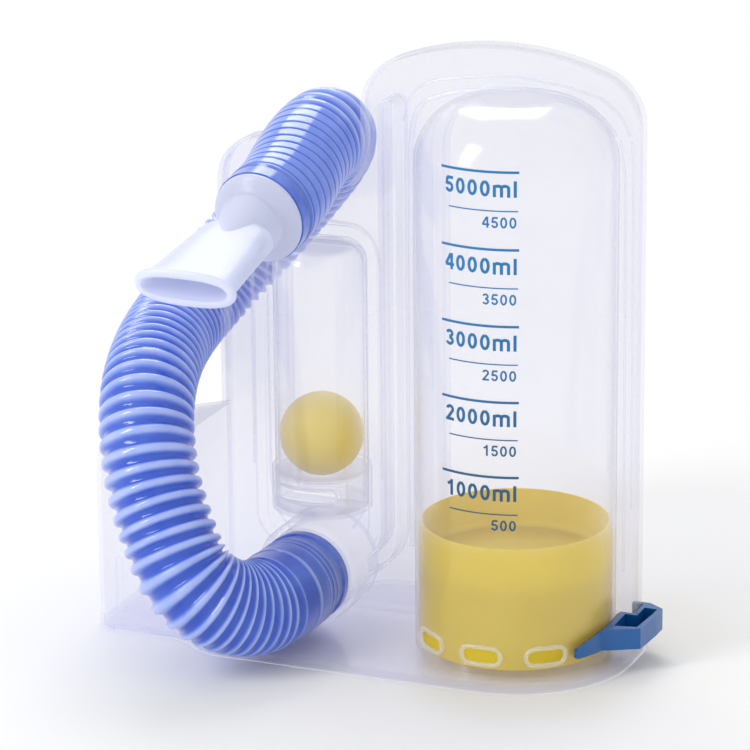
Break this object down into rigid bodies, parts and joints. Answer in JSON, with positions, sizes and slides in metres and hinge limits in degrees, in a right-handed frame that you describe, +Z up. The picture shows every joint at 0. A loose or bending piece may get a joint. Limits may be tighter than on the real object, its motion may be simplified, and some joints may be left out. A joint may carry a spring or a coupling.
{
  "type": "incentive spirometer",
  "caption": "Breathing trainer with a clear standing housing, a scaled piston chamber, a ball flow tube, a corrugated hose with an oval mouthpiece and a sliding target pointer.",
  "frame": {"origin": "on the surface it stands on, at the middle of the footprint of the housing with its foot and pointer", "axes": "+X to the user's right when facing the scale, +Y to the back, +Z up"},
  "size_m": [0.2192, 0.1732, 0.235],
  "materials": {
    "clear_shell": "glossy clear moulded plastic",
    "clear_base": "glossy clear moulded plastic",
    "yellow_piston": "translucent yellow moulded plastic",
    "yellow_ball": "smooth yellow plastic",
    "blue_hose": "corrugated soft blue plastic",
    "frosted_mouthpiece": "milky translucent plastic",
    "blue_pointer": "glossy solid blue plastic"
  },
  "bodies": {
    "housing": {"front_shell": "clear_shell", "rear_shell": "clear_shell", "base_plate": "clear_base", "ball_seat": "clear_base", "port_spigot": "clear_base", "hose": "blue_hose", "hose_cuff_lower": "blue_hose", "hose_cuff_upper": "blue_hose"},
    "piston": {"piston": "yellow_piston"},
    "ball": {"ball": "yellow_ball"},
    "mouthpiece": {"mouthpiece": "frosted_mouthpiece"},
    "target_pointer": {"target_pointer": "blue_pointer"}
  },
  "joints": [
    {"name": "piston_rise", "type": "slide", "parent": "housing", "child": "piston", "axis": [0, 0, 1], "range_m": [0, 0.1458]},
    {"name": "ball_rise", "type": "slide", "parent": "housing", "child": "ball", "axis": [0, 0, 1], "range_m": [0, 0.057]},
    {"name": "pointer_slide", "type": "slide", "parent": "housing", "child": "target_pointer", "axis": [0, 0, 1], "range_m": [-0.003, 0.184]},
    {"name": "mouthpiece_pull", "type": "slide", "parent": "housing", "child": "mouthpiece", "axis": [-0.0614, -0.9762, -0.2079], "range_m": [0, 0.04]}
  ]
}
